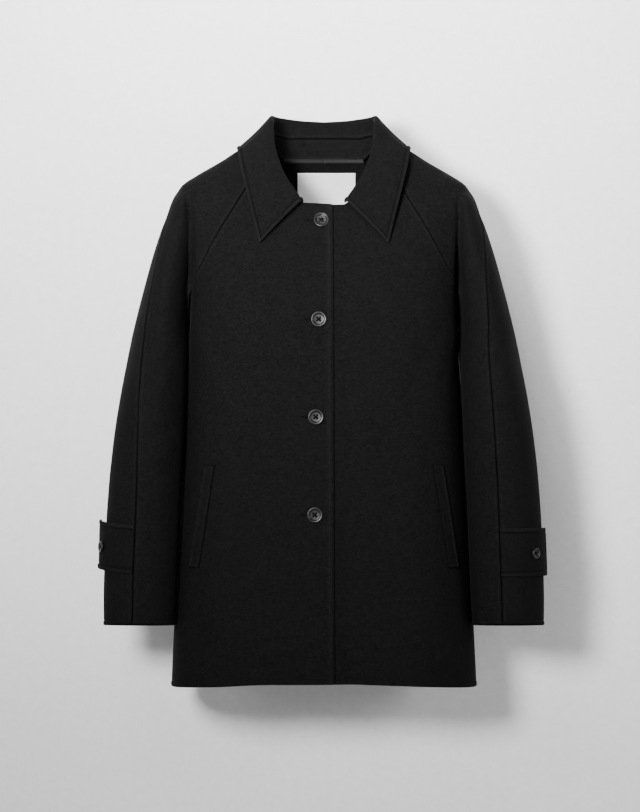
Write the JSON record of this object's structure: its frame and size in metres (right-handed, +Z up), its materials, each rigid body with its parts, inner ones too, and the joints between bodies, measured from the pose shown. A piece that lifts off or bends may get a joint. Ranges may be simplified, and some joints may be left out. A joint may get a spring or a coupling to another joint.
{
  "type": "short coat",
  "caption": "Short straight wool coat with raglan sleeves, turned-down collar, buttoned front, slanted welt pockets and cuff tabs, filled out and hollow.",
  "frame": {"origin": "the middle of the shoulders at the base of the neck, level with the back neck seam, where a wearer's shoulders hold the coat up", "axes": "+Z up the coat, -Y out of its front, +X towards the wearer's left sleeve"},
  "size_m": [0.6214, 0.2526, 0.7988],
  "materials": {
    "wool": "matte brushed black wool",
    "tape": "dark satin",
    "label": "white woven cloth, blank",
    "button": "satin dark grey"
  },
  "bodies": {
    "root": {"front_right": "wool", "front_left": "wool", "back": "wool", "sleeve_right_front": "wool", "sleeve_right_back": "wool", "sleeve_left_front": "wool", "sleeve_left_back": "wool", "collar": "wool", "collar_stand": "wool", "pocket_welt_right": "wool", "pocket_welt_left": "wool", "cuff_tab_right": "wool", "cuff_tab_left": "wool", "neck_tape": "tape", "label": "label", "button_front_1": "button", "button_front_2": "button", "button_front_3": "button", "button_front_4": "button", "button_cuff_right": "button", "button_cuff_left": "button"}
  },
  "joints": []
}
